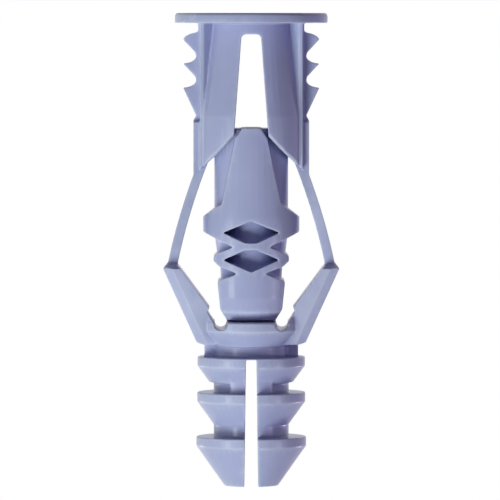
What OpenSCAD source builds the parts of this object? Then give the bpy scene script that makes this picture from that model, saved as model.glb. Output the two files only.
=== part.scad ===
// Plastic drywall anchor, moulded in one piece.
// A flanged sleeve grips the panel, two arms fold out behind it, and a split, barbed tail follows
// the screw. It stands on its flange. +Z runs from the flange to the tail, the arms lie along X,
// and the windows of the sleeve face along Y.

/* [Flange] */
// Diameter of the flange
flange_d = 12.2; // [11.6:0.1:16]
// Thickness of the flange
flange_t = 0.8; // [0.6:0.05:1.1]
// Radius round the outer edge of the flange
flange_edge_r = 0.25; // [0.1:0.05:0.35]
// Diameter of the screw hole through the flange
screw_hole_d = 4.6; // [4:0.1:5]

/* [Sleeve] */
// Distance from the outer face of the flange to the root of the straps
sleeve_depth = 12.9; // [12.5:0.1:18]
// Diameter of the sleeve at its mouth, and width across its side rails
sleeve_d = 8.2; // [8:0.1:9]
// Diameter of the sleeve where its cone leaves the flange
cone_d = 6.2; // [5.9:0.1:6.8]
// Distance from the outer face of the flange to the wide end of the cone
cone_end = 8.2; // [7:0.1:8.8]
// Diameter of the bore at the mouth of the sleeve
mouth_bore_d = 6.4; // [6.3:0.05:6.7]
// Width of the side rails, front to back
rail_w = 3; // [2.6:0.1:3.4]
// Slope of the web between a rail and the cone, in degrees
web_slope = 35; // [25:1:40]
// How much shorter the sleeve is at the front than at the rails
mouth_setback = 3.1; // [2.6:0.1:3.4]
// Bow of the slanted edge of the mouth
mouth_bow = 0.15; // [0:0.05:0.3]
// Width of the bevel along that edge, seen from the front
mouth_bevel = 0.24; // [0.12:0.02:0.3]
// Lean of that bevel from front to back, in degrees
mouth_lean = 40; // [30:1:50]

/* [Windows] */
// Distance from the flange to the closed end of a window
window_land = 0.9; // [0.7:0.1:1.5]
// Width of a window at its closed end
window_w = 1.6; // [1.4:0.02:2]
// Width of a window at the mouth of the sleeve
window_mouth_w = 2.74; // [2.7:0.02:3.2]
// Radius in the corners of a window
window_corner_r = 0.4; // [0.2:0.05:0.5]

/* [Side teeth] */
// Number of teeth on each side
tooth_count = 3; // [2:1:3]
// Distance from the outer face of the flange to the first tip
first_tooth = 2.1; // [2:0.05:2.3]
// Distance between two tips
tooth_pitch = 1.93; // [1.8:0.01:2]
// Height of a tip above the root of the teeth
tooth_h = 1.05; // [0.6:0.05:1.2]
// Height of the steep, hollow face of a tooth along the axis
tooth_face = 0.6; // [0.4:0.05:0.7]
// Thickness of the toothed plate, front to back
tooth_plate_t = 0.8; // [0.7:0.1:1.6]
// How far the root of the teeth stands out from the rail
tooth_root = 0.3; // [0.2:0.05:0.45]
// Distance that the last tooth takes to run out
tooth_runout = 2.25; // [2:0.05:2.4]

/* [Straps] */
// Width of a strap and of the band that carries it, front to back
strap_w = 1.8; // [1.4:0.1:2.6]
// Thickness of a strap
strap_t = 0.76; // [0.6:0.02:0.9]
// Thickness of the band that carries the strap on the rail
band_t = 0.52; // [0.5:0.02:0.7]
// Length of a strap along the axis
strap_rise = 7; // [6.5:0.1:9]
// Distance of a strap's outer face from the axis at the knee
knee_out = 6.65; // [6.2:0.05:7]
// Outward bow of a strap
strap_bow = 0.14; // [0:0.02:0.3]

/* [Arms] */
// Length of an arm along the axis
arm_rise = 6.55; // [6.35:0.05:7.5]
// Width of an arm, front to back
arm_w = 4.2; // [3.4:0.1:4.6]
// How far the tip of a knee stands out from the strap
knee_step = 0.38; // [0.2:0.02:0.6]
// Distance of an arm's outer face from the axis at its end
arm_end_out = 4.36; // [4.2:0.02:4.6]
// Distance of the heel on an arm's inner face from the axis
heel_in = 3.34; // [3.2:0.02:3.5]
// Distance from the end of an arm to its heel, along the axis
heel_rise = 2.95; // [2.75:0.05:3.3]
// Width of the slope along the outer edge of an arm
arm_slope_w = 0.68; // [0.4:0.02:0.9]
// Fall of the slope along the outer edge of an arm
arm_slope_drop = 0.3; // [0.2:0.05:0.9]

/* [Base ring] */
// Diameter of the ring that joins the arms and the core
base_d = 8.2; // [7.8:0.1:8.6]
// Height of the ring
base_h = 1.85; // [1.65:0.05:2]
// Height of the upright rim of the ring
base_rim_h = 0.75; // [0.5:0.05:0.9]
// Diameter of the ring at the neck
base_end_d = 6.6; // [6.2:0.1:7]
// Radius of the round end of the gap between an arm and the core
gap_r = 0.48; // [0.4:0.02:0.52]
// Distance of the round end of a gap from the axis
gap_out = 2.46; // [2.4:0.02:2.52]

/* [Core] */
// Diameter of the core where it enters the sleeve
core_d = 5.9; // [5.6:0.1:6]
// Length of the core inside the sleeve
core_overlap = 3.75; // [3.5:0.05:3.85]
// Diameter of the pilot hole for the screw
pilot_d = 2.5; // [2:0.1:3]
// Width of a tongue at its tip
tongue_tip_w = 1.52; // [1.2:0.02:1.8]
// Width of a tongue below its cut corners
tongue_top_w = 2.56; // [2.3:0.02:2.6]
// Width of a tongue at its root on the collar
tongue_root_w = 4.7; // [4.2:0.1:5]
// Diameter across the two tongues at their tips
tongue_d = 6.8; // [6.4:0.1:7]
// Diameter of the collar
collar_d = 7.7; // [7.2:0.1:8]
// Height of the upright rim of the collar
collar_h = 1.2; // [0.9:0.1:1.4]
// Height of the barrel between the lattice and the ring
barrel_h = 3.15; // [2.9:0.05:3.4]
// Width of the barrel next to the lattice
barrel_w = 5.36; // [5.1:0.02:5.5]
// Width of the barrel at its waist
barrel_waist_w = 4.94; // [4.7:0.02:5.1]
// Diameter of the groove between the barrel and the ring
groove_d = 3.9; // [3.7:0.1:4]
// Height of that groove
groove_h = 0.15; // [0.1:0.05:0.4]

/* [Lattice] */
// Half the width of a diamond pocket
diamond_half_w = 2.25; // [1.9:0.01:2.3]
// Slope of the ribs of the lattice, in degrees
rib_slope = 24.5; // [23:0.5:27]
// Distance between the two diamond pockets
diamond_pitch = 2.18; // [2.05:0.01:2.3]
// Distance from the second diamond pocket to the barrel
diamond_setback = 1.66; // [1.5:0.01:1.8]
// Thickness of the bridge between the two diamond pockets
bridge_t = 0.56; // [0.4:0.02:0.7]
// Diameter of the round floor of the pockets
pocket_floor_d = 4.2; // [4:0.1:4.5]
// Thickness of the web that closes the corners of the pockets
pocket_web_t = 1.2; // [0.8:0.1:1.8]
// Width of the lattice between its side notches
lattice_w = 6; // [5.8:0.1:6.2]

/* [Tail] */
// Diameter of the barb next to the arms
barb_1_d = 8.6; // [8.3:0.1:9]
// Diameter of the middle barb
barb_2_d = 8.66; // [8.3:0.02:9]
// Diameter of the barb at the tip
barb_3_d = 8.8; // [8.3:0.1:9]
// Length of the barb next to the arms
barb_1_len = 2.05; // [1.9:0.05:2.6]
// Diameter at the narrow end of the barb next to the arms
barb_1_end_d = 6.7; // [6.4:0.1:7]
// Length of the middle barb
barb_2_len = 2.6; // [2.4:0.1:3]
// Length of the barb at the tip
barb_3_len = 3.95; // [3.6:0.05:4.6]
// Height of the upright rim of a barb
barb_rim_h = 0.75; // [0.5:0.05:0.95]
// Width of the neck before the first barb, across its two webs
neck_1_w = 7.5; // [7:0.1:7.7]
// Thickness of those webs, front to back
neck_1_web_t = 1.6; // [1.4:0.1:3]
// Length of the neck before the first barb
neck_1_len = 1; // [0.8:0.05:1.2]
// Diameter of the round middle of the necks
neck_d = 6; // [5.6:0.1:6.2]
// Length of the neck before the second barb
neck_2_len = 0.8; // [0.6:0.05:1]
// Length of the neck before the third barb
neck_3_len = 0.95; // [0.7:0.05:1.2]
// Diameter of the blunt tip
tip_d = 4.3; // [3.6:0.1:4.6]
// Distance from the top of the first barb to the closed end of the tail's slot
slot_start = 0.1; // [0.05:0.05:0.6]
// Width of the tail's slot at its closed end
slot_w = 0.84; // [0.7:0.02:1]
// Width of the tail's slot at the tip
slot_tip_w = 1.12; // [0.9:0.02:1.3]
// Width of the pads that fill the second neck at the front and back
pad_w = 3.32; // [2.8:0.02:3.6]
// Diameter across those pads
pad_d = 7; // [6.6:0.1:7.4]
// Length of the tip beyond the end of the pilot hole
tip_len = 2.5; // [2:0.1:3.5]

/* [Hidden] */
$fn = 96;

// Pieces that meet run this far into each other
lap = 0.1;
// Longer than anything that is cut through
through = 20;

sleeve_r = sleeve_d / 2;
cone_r = cone_d / 2;
core_r = core_d / 2;
collar_r = collar_d / 2;
base_r = base_d / 2;
mouth_bore_r = mouth_bore_d / 2;

// Places along the axis, from the flange to the tip
window_z = flange_t + window_land;
mouth_z = sleeve_depth - mouth_setback;
core_tip_z = sleeve_depth - core_overlap;
knee_z = sleeve_depth + strap_rise;
arm_end_z = knee_z + arm_rise;
base_z = arm_end_z - base_h;
barrel_end_z = base_z - groove_h;
barrel_z = barrel_end_z - barrel_h;
barb_1_z = arm_end_z + neck_1_len;
neck_2_z = barb_1_z + barb_1_len;
barb_2_z = neck_2_z + neck_2_len;
neck_3_z = barb_2_z + barb_2_len;
barb_3_z = neck_3_z + neck_3_len;
tail_end_z = barb_3_z + barb_3_len;

// The lattice, worked out from the slope of its ribs
rib_tan = tan(rib_slope);
diamond_h = diamond_half_w * rib_tan;
diamond_2_z = barrel_z - diamond_setback;
diamond_1_z = diamond_2_z - diamond_pitch;
collar_end_z = diamond_1_z;
collar_z = collar_end_z - collar_h;
collar_flare = 0.66;
tongue_flare = 0.4;
tongue_root_z = collar_z - collar_flare - tongue_flare;
notch_1_in = 1.46;
notch_1_z = collar_end_z + (collar_r - notch_1_in) * tan(rib_slope + 1);
notch_2_in = 1.08;
notch_2_z = barrel_z - (lattice_w / 2 - 0.5 - notch_2_in) * tan(rib_slope - 4) - 0.05;

// The rails and the strap that grows out of them
rail_in = sqrt(pow(sleeve_r, 2) - pow(rail_w / 2, 2));
tooth_root_x = sleeve_r + tooth_root;
band_x = sleeve_r + band_t;
teeth_end_z = first_tooth + (tooth_count - 1) * tooth_pitch + tooth_runout;
band_z = teeth_end_z + 0.35;
strap_slant = atan((knee_out - band_x) / strap_rise);
strap_across = strap_t / cos(strap_slant);

// The corners of an arm
knee_tip_rise = 0.48;
arm_foot_rise = 0.21;
gap_sink = 0.1;
knee_tip_x = knee_out + knee_step;
knee_tip_z = knee_z + knee_tip_rise;
arm_foot_z = arm_end_z - arm_foot_rise;
heel_z = arm_end_z - heel_rise;
gap_z = base_z + gap_sink;
arm_slant = atan((knee_tip_x - arm_end_out) / (arm_foot_z - knee_tip_z));

function arc(centre, radius, start, end, steps) = [
    for (step = [0:steps])
        let (angle = start + (end - start) * step / steps)
        centre + radius * [cos(angle), sin(angle)]
];

function mirrored(points) = [for (i = [len(points) - 1:-1:0]) [-points[i][0], points[i][1]]];

// The point as far past b as a lies before it
function beyond(a, b) = 2 * b - a;

// Extrudes an outline that is drawn on X and Z along Y
module across(depth) {
    rotate([90, 0, 0])
        linear_extrude(depth, center = true)
            children();
}

module both_sides() {
    children();
    mirror([1, 0, 0]) children();
}

module front_and_back() {
    children();
    mirror([0, 1, 0]) children();
}

module flange() {
    rotate_extrude() {
        square([flange_d / 2 - flange_edge_r, flange_t]);
        translate([0, flange_edge_r])
            square([flange_d / 2, flange_t - flange_edge_r]);
        translate([flange_d / 2 - flange_edge_r, flange_edge_r])
            circle(flange_edge_r, $fn = 32);
    }
}

// The cone, which widens to the full diameter of the sleeve
module sleeve_body() {
    translate([0, 0, flange_t - lap])
        cylinder(cone_end - flange_t + lap, cone_r, sleeve_r);
    translate([0, 0, cone_end])
        cylinder(sleeve_depth - cone_end, sleeve_r, sleeve_r);
}

// A rail keeps the full width beside the cone, and its web slopes inwards to meet the cone
module rail() {
    web_in = cone_r - 0.8;
    web_half = rail_w / 2 - (rail_in - web_in) * tan(web_slope);
    translate([0, 0, flange_t - lap])
        linear_extrude(sleeve_depth - flange_t + lap)
            polygon([
                [web_in, -web_half],
                [rail_in, -rail_w / 2],
                [sleeve_r, -rail_w / 2],
                [sleeve_r, rail_w / 2],
                [rail_in, rail_w / 2],
                [web_in, web_half]
            ]);
}

// Each tooth has a steep face towards the flange and a straight back. The first tooth's face is
// full, from a root that stands out less, and the others' faces are hollow
module teeth() {
    inside = sleeve_r - 0.4;
    tooth_back = 0.93;
    first_root_x = tooth_root_x - 0.16;
    first_h = tooth_root_x + tooth_h - first_root_x;
    first_face = [
        for (step = [[0, 1.08], [0.15, 0.9], [0.51, 0.73], [0.82, 0.43], [1, 0]])
            [first_root_x + step[0] * first_h, first_tooth - step[1] * tooth_face]
    ];
    others = [
        for (i = [1:tooth_count - 1])
            let (tip_z = first_tooth + i * tooth_pitch)
            let (root_x = tooth_root_x + 0.08)
            each concat(
                [[root_x, tip_z - tooth_pitch + (tooth_h - 0.08) / tooth_back]],
                [
                    for (angle = [0:15:90])
                        [tooth_root_x + tooth_h * (1 - cos(angle)), tip_z - tooth_face * (1 - sin(angle))]
                ]
            )
    ];
    across(tooth_plate_t)
        polygon(concat(
            [[inside, flange_t - lap], [first_root_x, flange_t - lap]],
            first_face,
            others,
            [[tooth_root_x, teeth_end_z], [band_x, band_z], [inside, band_z]]
        ));
}

module window() {
    half = window_w / 2;
    mouth_half = window_mouth_w / 2;
    across(through)
        polygon(concat(
            arc([half - window_corner_r, window_z + window_corner_r], window_corner_r, -90, 0, 5),
            [[mouth_half, mouth_z], [mouth_half, sleeve_depth + 1], [-mouth_half, sleeve_depth + 1],
             [-mouth_half, mouth_z]],
            arc([window_corner_r - half, window_z + window_corner_r], window_corner_r, 180, 270, 5)
        ));
}

// Cuts the mouth back at the front and back, along an edge that slants down to the rails
module mouth_cut() {
    end = band_x + 0.3;
    window_half = window_mouth_w / 2;
    edge = [
        for (step = [0:5])
            let (x = window_half + (end - window_half) * step / 5)
            let (t = (x - window_half) / (band_x - window_half))
            [x, mouth_z + mouth_setback * t + 4 * mouth_bow * t * (1 - t)]
    ];
    bevel_edge = [for (point = edge) [point[0], bevel_height(point)]];
    top = sleeve_depth + 3;
    across(through)
        polygon(concat(mirrored(edge), edge, [[end, top], [-end, top]]));
    front_and_back()
        rotate([mouth_lean, 0, 0])
            across(through)
                polygon(concat(mirrored(bevel_edge), bevel_edge, [[end, top], [-end, top]]));
}

// The height, in a plane that leans with the bevel, of the bevel's line on the surface of the sleeve
function bevel_height(point) =
    let (surface = sqrt(max(pow(rail_w / 2, 2), pow(sleeve_r, 2) - pow(point[0], 2))))
    cos(mouth_lean) * (point[1] - mouth_bevel) + sin(mouth_lean) * surface;

// The screw hole, and the bore that widens towards the mouth to take the core
module sleeve_bore() {
    taper_end = cone_end + 0.3;
    translate([0, 0, -1])
        cylinder(window_z + 1, screw_hole_d / 2, screw_hole_d / 2);
    translate([0, 0, window_z])
        cylinder(taper_end - window_z, screw_hole_d / 2, mouth_bore_r);
    translate([0, 0, taper_end])
        cylinder(sleeve_depth - taper_end + 1, mouth_bore_r, mouth_bore_r);
}

module sleeve() {
    difference() {
        union() {
            flange();
            sleeve_body();
            both_sides() {
                rail();
                teeth();
            }
        }
        sleeve_bore();
        window();
        mouth_cut();
    }
}

// The band on the rail, and the bowed strap that runs from it to the knee
module strap() {
    outer = [
        for (t = [0:0.1:1])
            [band_x + t * (knee_out - band_x) + 4 * strap_bow * t * (1 - t),
             sleeve_depth + t * strap_rise]
    ];
    inner = [for (i = [len(outer) - 1:-1:0]) outer[i] - [strap_across, 0]];
    intersection() {
        across(strap_w + 1)
            polygon(concat(
                [[sleeve_r - 0.2, band_z], [band_x, band_z]],
                outer,
                [[knee_out, knee_z + 0.3], [knee_out - strap_across, knee_z + 0.3]],
                inner,
                [[mouth_bore_r + 0.05, sleeve_depth - 1.5]]
            ));
        strap_section();
    }
}

// Limits the strap to its width, with a slope where the band grows out of the toothed plate
module strap_section() {
    half = strap_w / 2;
    slope_in = half - 0.6;
    rotate([90, 0, 90])
        linear_extrude(through, center = true)
            polygon([
                [-half, band_z + 0.15],
                [-slope_in, band_z - 0.05],
                [slope_in, band_z - 0.05],
                [half, band_z + 0.15],
                [half, knee_z + 1],
                [-half, knee_z + 1]
            ]);
}

// A flat arm that runs back from the knee to the ring
module arm() {
    foot_corner = [arm_end_out - 0.2, arm_end_z - 0.12];
    intersection() {
        across(arm_w + 1)
            polygon([
                [knee_out - strap_across, knee_z + 0.2],
                [knee_out, knee_z],
                beyond([knee_out, knee_z], [knee_tip_x, knee_tip_z]),
                beyond(foot_corner, [arm_end_out, arm_foot_z]),
                foot_corner,
                [neck_1_w / 2, arm_end_z],
                [gap_out, arm_end_z],
                [gap_out, gap_z],
                [gap_out + gap_r, gap_z],
                [heel_in + 0.16, heel_z + 0.33],
                [heel_in, heel_z]
            ]);
        arm_section();
        knee_slope();
    }
}

// Slopes the arm's faces back along its outer edge
module arm_section() {
    edge = arm_w / 2 - arm_slope_drop;
    translate([knee_tip_x, 0, knee_tip_z])
        rotate([0, -arm_slant, 0])
            linear_extrude(through, center = true)
                polygon([
                    [0, -edge],
                    [0, edge],
                    [-arm_slope_w, arm_w / 2],
                    [-through, arm_w / 2],
                    [-through, -arm_w / 2],
                    [-arm_slope_w, -arm_w / 2]
                ]);
}

// Slopes the arm's faces in to the width of the strap at the knee
module knee_slope() {
    steep = (knee_tip_z - knee_z) / (arm_w - strap_w) * 2;
    far = arm_w / 2 + 1;
    far_z = knee_z + (far - strap_w / 2) * steep;
    rotate([90, 0, 90])
        linear_extrude(through, center = true)
            polygon([
                [-far, far_z],
                [-strap_w / 2, knee_z],
                [-strap_w / 2, knee_z - 1],
                [strap_w / 2, knee_z - 1],
                [strap_w / 2, knee_z],
                [far, far_z],
                [far, arm_end_z + 1],
                [-far, arm_end_z + 1]
            ]);
}

// Carries the round of the ring up beside the gap, until it runs out on the arm's faces
module arm_foot() {
    inset = 0.05;
    top = heel_z + 0.33;
    intersection() {
        across(through)
            polygon([
                [gap_out + gap_r + inset, gap_z],
                [heel_in + 0.16 + inset, top],
                [arm_end_out, top],
                [arm_end_out, gap_z]
            ]);
        translate([0, 0, top - lap])
            cylinder(gap_z - top + 2 * lap, base_r - 0.12, base_r - 0.05);
    }
}

module base_ring() {
    rotate_extrude()
        polygon([
            [0, base_z],
            [base_r - 0.12, base_z],
            [base_r, base_z + 0.12],
            [base_r, base_z + base_rim_h],
            [base_end_d / 2, arm_end_z],
            [base_end_d / 2 - 0.1, arm_end_z + lap],
            [0, arm_end_z + lap]
        ]);
}

// The round end of a gap, which opens out at the front and back
module gap_end() {
    flare = 0.15;
    translate([gap_out, 0, gap_z]) {
        rotate([90, 0, 0])
            cylinder(through, gap_r, gap_r, center = true);
        front_and_back()
            translate([0, -arm_w / 2, 0])
                rotate([90, 0, 0])
                    cylinder(base_r - arm_w / 2, gap_r, gap_r + flare);
    }
}

module arms_and_ring() {
    difference() {
        union() {
            base_ring();
            both_sides() {
                arm();
                arm_foot();
            }
        }
        both_sides() gap_end();
    }
}

// The round core under the tongues and the lattice
module core_body() {
    waist_r = barrel_waist_w / 2;
    rotate_extrude()
        polygon([
            [0, core_tip_z + 0.05],
            [core_r - 0.1, core_tip_z + 0.05],
            [core_r, core_tip_z + 0.15],
            [core_r, collar_end_z + 0.4],
            [core_r - 0.06, collar_end_z + 0.5],
            [core_r - 0.2, diamond_2_z - 0.6],
            [waist_r + 0.05, diamond_2_z],
            [waist_r - 0.05, barrel_z + 0.2],
            [groove_d / 2, barrel_end_z - 0.4],
            [groove_d / 2, base_z + lap],
            [0, base_z + lap]
        ]);
}

// The outline of the tongues, the collar, the lattice and the barrel, seen from the front
module core_outline() {
    bump = lattice_w / 2;
    barrel = barrel_w / 2;
    waist = barrel_waist_w / 2;
    side = [
        [tongue_tip_w / 2, core_tip_z],
        [tongue_top_w / 2, core_tip_z + 0.8],
        [tongue_root_w / 2, tongue_root_z],
        [collar_r - 0.9, collar_z - collar_flare],
        [collar_r, collar_z],
        [collar_r, collar_end_z],
        [notch_1_in, notch_1_z],
        [bump - 0.2, notch_1_z + (bump - 0.2 - notch_1_in) * rib_tan * 0.95],
        [bump, notch_1_z + 0.8],
        [bump, diamond_2_z + 0.1],
        [bump - 0.45, diamond_2_z + 0.52],
        [notch_2_in, notch_2_z],
        [barrel - 0.2, barrel_z - 0.06],
        [barrel - 0.04, barrel_z + 0.04],
        [barrel, barrel_z + 0.2],
        [waist, barrel_end_z - 0.88],
        [groove_d / 2, barrel_end_z],
    ];
    polygon(concat(side, mirrored(side)));
}

// The round surface that the outline is cut from
module core_surface() {
    rotate_extrude()
        polygon([
            [0, core_tip_z],
            [tongue_d / 2, core_tip_z],
            [collar_r, collar_z],
            [collar_r, collar_end_z],
            [collar_r - 0.12, barrel_z],
            [collar_r - 0.18, barrel_z + 1.4],
            [collar_r - 0.4, barrel_end_z - 0.63],
            [collar_r - 1.1, barrel_end_z],
            [0, barrel_end_z]
        ]);
}

// Two diamonds, cut flat where the bridge parts them
module diamond(flat_side) {
    flat_h = (diamond_pitch - bridge_t) / 2;
    flat_half = (diamond_h - flat_h) / rib_tan;
    across(through)
        polygon([
            [-diamond_half_w, 0],
            [0, -flat_side * diamond_h * 0.92],
            [diamond_half_w, 0],
            [flat_half, flat_side * flat_h],
            [-flat_half, flat_side * flat_h]
        ]);
}

module pockets() {
    difference() {
        union() {
            translate([0, 0, diamond_1_z]) diamond(1);
            translate([0, 0, diamond_2_z]) diamond(-1);
        }
        cylinder(through * 3, d = pocket_floor_d, center = true);
        cube([through, pocket_web_t, through * 3], center = true);
    }
}

module core() {
    difference() {
        union() {
            core_body();
            intersection() {
                across(through) core_outline();
                core_surface();
            }
        }
        pockets();
    }
}

// A barb has an upright rim and a cone that leads towards the tip
module barb(start, length, diameter, end_d) {
    edge = 0.05;
    translate([0, 0, start])
        rotate_extrude()
            polygon([
                [0, 0],
                [diameter / 2 - edge, 0],
                [diameter / 2, edge],
                [diameter / 2, barb_rim_h],
                [end_d / 2, length],
                [0, length]
            ]);
}

// The first neck is round, with a web on each side that carries the arms
module first_neck() {
    start = arm_end_z - 0.2;
    length = neck_1_len + 0.2 + lap;
    translate([0, 0, start]) {
        cylinder(length, d = neck_d);
        translate([-neck_1_w / 2, -neck_1_web_t / 2, 0])
            cube([neck_1_w, neck_1_web_t, length]);
    }
}

module pads() {
    translate([0, 0, neck_2_z - 0.4])
        intersection() {
            cylinder(neck_2_len + 0.4 + lap, d = pad_d);
            translate([-pad_w / 2, -pad_d / 2, 0])
                cube([pad_w, pad_d, neck_2_len + 0.4 + lap]);
        }
}

module slot() {
    top = slot_w / 2;
    tip = slot_tip_w / 2;
    slot_z = barb_1_z + slot_start;
    across(through)
        polygon([
            [-top, slot_z],
            [top, slot_z],
            [tip, tail_end_z + 1],
            [-tip, tail_end_z + 1]
        ]);
}

module tail() {
    difference() {
        union() {
            first_neck();
            barb(barb_1_z, barb_1_len, barb_1_d, barb_1_end_d);
            translate([0, 0, neck_2_z - lap])
                cylinder(neck_2_len + 2 * lap, d = neck_d);
            barb(barb_2_z, barb_2_len, barb_2_d, neck_d);
            translate([0, 0, neck_3_z - lap])
                cylinder(neck_3_len + 2 * lap, d = neck_d);
            barb(barb_3_z, barb_3_len, barb_3_d, tip_d);
            pads();
        }
        slot();
    }
}

// The hole that the screw cuts its thread in
module pilot_hole() {
    translate([0, 0, core_tip_z - 1])
        cylinder(tail_end_z - tip_len - core_tip_z + 1, d = pilot_d);
}

module anchor() {
    color("lightsteelblue")
        difference() {
            union() {
                sleeve();
                both_sides() strap();
                arms_and_ring();
                core();
                tail();
            }
            pilot_hole();
        }
}

anchor();
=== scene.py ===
# Looks of the plastic drywall anchor: a rounded moulding, its satin plastic, the floor, the lamps and
# the camera. Lengths are in metres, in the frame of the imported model.

import math

import bmesh
import bpy
from mathutils import Matrix, Vector, kdtree


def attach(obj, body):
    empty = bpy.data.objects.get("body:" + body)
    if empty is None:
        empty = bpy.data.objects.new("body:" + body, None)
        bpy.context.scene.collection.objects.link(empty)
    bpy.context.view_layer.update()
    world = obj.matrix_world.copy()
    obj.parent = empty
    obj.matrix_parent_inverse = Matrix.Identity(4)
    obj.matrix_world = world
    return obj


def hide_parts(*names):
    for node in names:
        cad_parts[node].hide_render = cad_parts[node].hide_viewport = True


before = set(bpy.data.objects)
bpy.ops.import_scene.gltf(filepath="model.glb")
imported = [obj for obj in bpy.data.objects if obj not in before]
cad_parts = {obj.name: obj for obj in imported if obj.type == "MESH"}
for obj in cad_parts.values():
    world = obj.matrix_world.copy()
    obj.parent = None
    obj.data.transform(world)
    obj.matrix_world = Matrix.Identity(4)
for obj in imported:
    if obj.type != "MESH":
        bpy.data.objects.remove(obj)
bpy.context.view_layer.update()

anchor_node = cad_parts["anchor"]
MM = 0.001
scene = bpy.context.scene
scene.view_settings.view_transform = "Standard"


# The camera stands level with the flange, half a turn rolled, so that the flange is at the top
VIEW_WIDTH = 40 * MM
CAMERA_DISTANCE = 490 * MM
CAMERA_HEIGHT = 0.4 * MM
AIM = Vector((0.1 * MM, 0, 18.95 * MM))
SENSOR_WIDTH = 36
NEAREST = 0.01
FARTHEST = 10


def make_camera():
    place = Vector((AIM.x, -CAMERA_DISTANCE, CAMERA_HEIGHT))
    back = (place - AIM).normalized()
    right = Vector((-1, 0, 0))
    up = back.cross(right)
    data = bpy.data.cameras.new("camera")
    data.sensor_width = SENSOR_WIDTH
    data.lens = SENSOR_WIDTH * (place - AIM).length / VIEW_WIDTH
    data.clip_start = NEAREST
    data.clip_end = FARTHEST
    camera = bpy.data.objects.new("camera", data)
    camera.matrix_world = Matrix.Translation(place) @ Matrix((right, up, back)).transposed().to_4x4()
    scene.collection.objects.link(camera)
    scene.camera = camera


# The moulding: the CAD solid with the small radii that a mould leaves on every edge
WELD = 0.0005 * MM
VOXEL = 0.06 * MM
SMOOTH_SHARE = 0.5
SMOOTH_PASSES = 5
TRIANGLES = 190000

# Pale wear and a painted highlight line show along outer edges that turn by more than this angle, and
# fade out over the reach
SHARP = math.radians(14)
EDGE_STEP = 0.06 * MM
EDGE_REACH = 0.2 * MM


def apply_modifier(piece, name):
    with bpy.context.temp_override(object=piece, active_object=piece, selected_objects=[piece]):
        bpy.ops.object.modifier_apply(modifier=name)


def make_moulding():
    piece = anchor_node.copy()
    piece.data = anchor_node.data.copy()
    piece.parent = None
    for key in list(piece.keys()):
        del piece[key]
    piece.name = "moulding"
    piece.data.name = "moulding"
    scene.collection.objects.link(piece)
    weld(piece.data)
    edges = outer_edges(piece.data)

    remesh = piece.modifiers.new("remesh", "REMESH")
    remesh.mode = "VOXEL"
    remesh.voxel_size = VOXEL * 1
    remesh.use_smooth_shade = True
    apply_modifier(piece, "remesh")
    smooth = piece.modifiers.new("smooth", "SMOOTH")
    smooth.factor = SMOOTH_SHARE
    smooth.iterations = SMOOTH_PASSES
    apply_modifier(piece, "smooth")
    triangles = len(piece.data.polygons) * 2
    decimate = piece.modifiers.new("decimate", "DECIMATE")
    decimate.ratio = min(1, TRIANGLES / triangles)
    apply_modifier(piece, "decimate")
    mark_edges(piece.data, edges)
    return piece


def weld(mesh):
    work = bmesh.new()
    work.from_mesh(mesh)
    bmesh.ops.remove_doubles(work, verts=work.verts, dist=WELD)
    work.to_mesh(mesh)
    work.free()


# Points along the sharp outer edges of the CAD solid
def outer_edges(mesh):
    work = bmesh.new()
    work.from_mesh(mesh)
    points = []
    for edge in work.edges:
        if len(edge.link_faces) == 2 and edge.calc_face_angle_signed() > SHARP:
            start, end = (vert.co for vert in edge.verts)
            steps = max(1, math.ceil((end - start).length / EDGE_STEP))
            points.extend(start.lerp(end, step / steps) for step in range(steps + 1))
    work.free()
    tree = kdtree.KDTree(len(points))
    for i, point in enumerate(points):
        tree.insert(point, i)
    tree.balance()
    return tree


# Keeps on each point of the mesh how near it is to such an edge, from 0 to 1
def mark_edges(mesh, tree):
    near = mesh.attributes.new("edge", "FLOAT", "POINT")
    near.data.foreach_set("value", [
        max(0, 1 - tree.find(vert.co)[2] / EDGE_REACH) for vert in mesh.vertices])


# Satin plastic: a slightly cloudy colour and gloss, paler along edges where wear and a painted
# highlight line are mixed in, with a fine grain
CLOUD_SCALE = 260
CLOUD_DETAIL = 3
CLOUD_RANGE = (0.3, 0.7)
CLOUD_COLOURS = ((0.318, 0.332, 0.556, 1), (0.347, 0.361, 0.594, 1))
# Pale edge colour: partly wear, partly a painted highlight along edges and creases
WORN_AND_HIGHLIGHT_COLOUR = (0.56, 0.58, 0.74, 1)
ROUGHNESS = (0.26, 0.34)
GRAIN_SCALE = 2200
GRAIN_DETAIL = 2
GRAIN_STRENGTH = 0.12
GRAIN_HEIGHT = 0.01 * MM
SUBSURFACE_WEIGHT = 0.1
SUBSURFACE_RADIUS = (0.45, 0.32, 1)
SUBSURFACE_SCALE = 0.7 * MM
REFRACTION = 1.49
SPECULAR = 0.34


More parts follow.
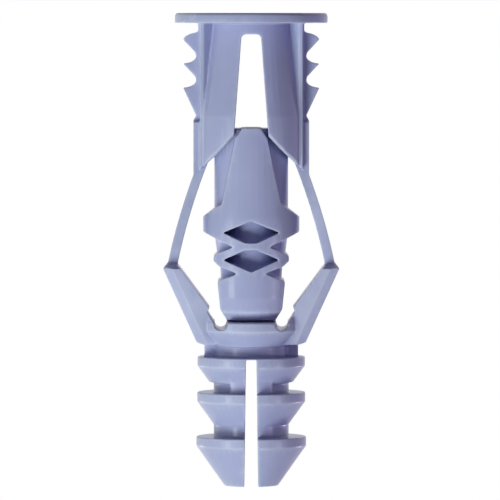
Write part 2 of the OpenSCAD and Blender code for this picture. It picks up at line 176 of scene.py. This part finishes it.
def plastic():
    material = bpy.data.materials.new("satin_plastic")
    material.use_nodes = True
    nodes, links = material.node_tree.nodes, material.node_tree.links
    shader = nodes["Principled BSDF"]
    place = nodes.new("ShaderNodeTexCoord")

    cloud = nodes.new("ShaderNodeTexNoise")
    cloud.inputs["Scale"].default_value = CLOUD_SCALE
    cloud.inputs["Detail"].default_value = CLOUD_DETAIL
    tint = nodes.new("ShaderNodeValToRGB")
    for stop, position, colour in zip(tint.color_ramp.elements, CLOUD_RANGE, CLOUD_COLOURS):
        stop.position = position
        stop.color = colour
    links.new(place.outputs["Object"], cloud.inputs["Vector"])
    links.new(cloud.outputs["Fac"], tint.inputs["Fac"])

    near = nodes.new("ShaderNodeAttribute")
    near.attribute_name = "edge"
    patches = nodes.new("ShaderNodeMath")
    patches.operation = "MULTIPLY"
    # Mixes the pale edge colour in near sharp edges: wear and a painted highlight line
    wear_and_highlight = nodes.new("ShaderNodeMix")
    wear_and_highlight.data_type = "RGBA"
    share, colour_a, colour_b = wear_and_highlight.inputs[0], wear_and_highlight.inputs[6], wear_and_highlight.inputs[7]
    colour_out = wear_and_highlight.outputs[2]
    colour_b.default_value = WORN_AND_HIGHLIGHT_COLOUR
    links.new(near.outputs["Fac"], patches.inputs[0])
    links.new(cloud.outputs["Fac"], patches.inputs[1])
    links.new(patches.outputs["Value"], share)
    links.new(tint.outputs["Color"], colour_a)
    links.new(colour_out, shader.inputs["Base Color"])

    rough = nodes.new("ShaderNodeMapRange")
    rough.inputs["To Min"].default_value, rough.inputs["To Max"].default_value = ROUGHNESS
    links.new(cloud.outputs["Fac"], rough.inputs["Value"])
    links.new(rough.outputs["Result"], shader.inputs["Roughness"])

    grain = nodes.new("ShaderNodeTexNoise")
    grain.inputs["Scale"].default_value = GRAIN_SCALE
    grain.inputs["Detail"].default_value = GRAIN_DETAIL
    bump = nodes.new("ShaderNodeBump")
    bump.inputs["Strength"].default_value = GRAIN_STRENGTH
    bump.inputs["Distance"].default_value = GRAIN_HEIGHT
    links.new(place.outputs["Object"], grain.inputs["Vector"])
    links.new(grain.outputs["Fac"], bump.inputs["Height"])
    links.new(bump.outputs["Normal"], shader.inputs["Normal"])
    shader.inputs["Subsurface Weight"].default_value = SUBSURFACE_WEIGHT
    shader.inputs["Subsurface Radius"].default_value = SUBSURFACE_RADIUS
    shader.inputs["Subsurface Scale"].default_value = SUBSURFACE_SCALE
    shader.inputs["IOR"].default_value = REFRACTION
    shader.inputs["Specular IOR Level"].default_value = SPECULAR
    return material


# A wide floor that keeps the object's shadow and turns pure white away from the object
FLOOR_RADIUS = 1.2
FLOOR_SEGMENTS = 96
FLOOR_COLOUR = (0.1, 0.09, 0.12, 1)
GLOW_DISTANCES = (50 * MM, 600 * MM)
GLOW_STRENGTHS = (0.9, 1)


def make_floor():
    work = bmesh.new()
    bmesh.ops.create_circle(work, cap_ends=True, radius=FLOOR_RADIUS, segments=FLOOR_SEGMENTS)
    mesh = bpy.data.meshes.new("floor")
    work.to_mesh(mesh)
    work.free()
    floor = bpy.data.objects.new("floor", mesh)
    scene.collection.objects.link(floor)

    material = bpy.data.materials.new("pale_floor")
    material.use_nodes = True
    nodes, links = material.node_tree.nodes, material.node_tree.links
    nodes.clear()
    matt = nodes.new("ShaderNodeBsdfDiffuse")
    matt.inputs["Color"].default_value = FLOOR_COLOUR
    place = nodes.new("ShaderNodeTexCoord")
    distance = nodes.new("ShaderNodeVectorMath")
    distance.operation = "LENGTH"
    rise = nodes.new("ShaderNodeMapRange")
    rise.inputs["From Min"].default_value, rise.inputs["From Max"].default_value = GLOW_DISTANCES
    rise.inputs["To Min"].default_value, rise.inputs["To Max"].default_value = GLOW_STRENGTHS
    glow = nodes.new("ShaderNodeEmission")
    strength = nodes.new("ShaderNodeMath")
    strength.operation = "MULTIPLY"
    links.new(place.outputs["Object"], distance.inputs[0])
    links.new(distance.outputs["Value"], rise.inputs["Value"])
    links.new(white_rays(nodes, links), strength.inputs[0])
    links.new(rise.outputs["Result"], strength.inputs[1])
    links.new(strength.outputs["Value"], glow.inputs["Strength"])
    both = nodes.new("ShaderNodeAddShader")
    output = nodes.new("ShaderNodeOutputMaterial")
    links.new(matt.outputs["BSDF"], both.inputs[0])
    links.new(glow.outputs["Emission"], both.inputs[1])
    links.new(both.outputs["Shader"], output.inputs["Surface"])
    mesh.materials.append(material)


# One for the rays that show the background, and nothing for the rays that light the object
def white_rays(nodes, links):
    path = nodes.new("ShaderNodeLightPath")
    total = path.outputs["Is Camera Ray"]
    for name in ("Is Glossy Ray", "Is Transmission Ray"):
        add = nodes.new("ShaderNodeMath")
        add.operation = "ADD"
        add.use_clamp = True
        links.new(total, add.inputs[0])
        links.new(path.outputs[name], add.inputs[1])
        total = add.outputs["Value"]
    return total


AMBIENT = 0.01
AMBIENT_COLOUR = (0.7, 0.5, 1, 1)
WHITE = (1, 1, 1, 1)


def make_world():
    world = bpy.data.worlds.new("studio")
    scene.world = world
    world.use_nodes = True
    nodes, links = world.node_tree.nodes, world.node_tree.links
    nodes.clear()
    fill = nodes.new("ShaderNodeBackground")
    fill.inputs["Color"].default_value = AMBIENT_COLOUR
    fill.inputs["Strength"].default_value = AMBIENT
    white = nodes.new("ShaderNodeBackground")
    white.inputs["Color"].default_value = WHITE
    mix = nodes.new("ShaderNodeMixShader")
    output = nodes.new("ShaderNodeOutputWorld")
    links.new(white_rays(nodes, links), mix.inputs["Fac"])
    links.new(fill.outputs["Background"], mix.inputs[1])
    links.new(white.outputs["Background"], mix.inputs[2])
    links.new(mix.outputs["Shader"], output.inputs["Surface"])


LAMP_DISTANCE = 300 * MM
MIDDLE = Vector((0, 0, 19 * MM))
KEY_SIZE = 160 * MM
GLEAM_SIZE = 38 * MM
RIM_SIZE = 50 * MM
KEY_COLOUR = (0.9, 1, 0.88)
GLEAM_COLOUR = (0.95, 1, 0.95)
FILL_COLOUR = (0.86, 0.7, 1)
RIM_COLOUR = (0.76, 0.7, 1)


# A round lamp, so many degrees to the photo's left of the camera and above the floor. The two large
# ones only light the plastic, and the small ones also give it its streaks and bright creases
def lamp(name, azimuth, elevation, watts, colour, size):
    data = bpy.data.lights.new(name, "AREA")
    data.shape = "DISK"
    data.size = size
    data.energy = watts
    data.color = colour
    light = bpy.data.objects.new(name, data)
    left, up = math.radians(azimuth), math.radians(elevation)
    away = Vector((math.sin(left) * math.cos(up), -math.cos(left) * math.cos(up), math.sin(up)))
    light.location = MIDDLE + LAMP_DISTANCE * away
    light.rotation_mode = "QUATERNION"
    light.rotation_quaternion = away.to_track_quat("Z", "Y")
    scene.collection.objects.link(light)
    return light


make_camera()
moulding = make_moulding()
moulding.data.materials.clear()
moulding.data.materials.append(plastic())
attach(moulding, "root")
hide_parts("anchor")
make_floor()
make_world()
for name, azimuth in (("key", 31), ("back", 178)):
    soft = lamp(name, azimuth, 30, 0.93, KEY_COLOUR, KEY_SIZE)
    soft.visible_glossy = False
lamp("gleam", 50, 8, 0.14, GLEAM_COLOUR, GLEAM_SIZE)
lamp("back_gleam", 130, 15, 0.08, GLEAM_COLOUR, GLEAM_SIZE)
lamp("violet_fill", -60, 12, 0.15, FILL_COLOUR, GLEAM_SIZE)
lamp("violet_rim", -125, 20, 0.25, RIM_COLOUR, RIM_SIZE)
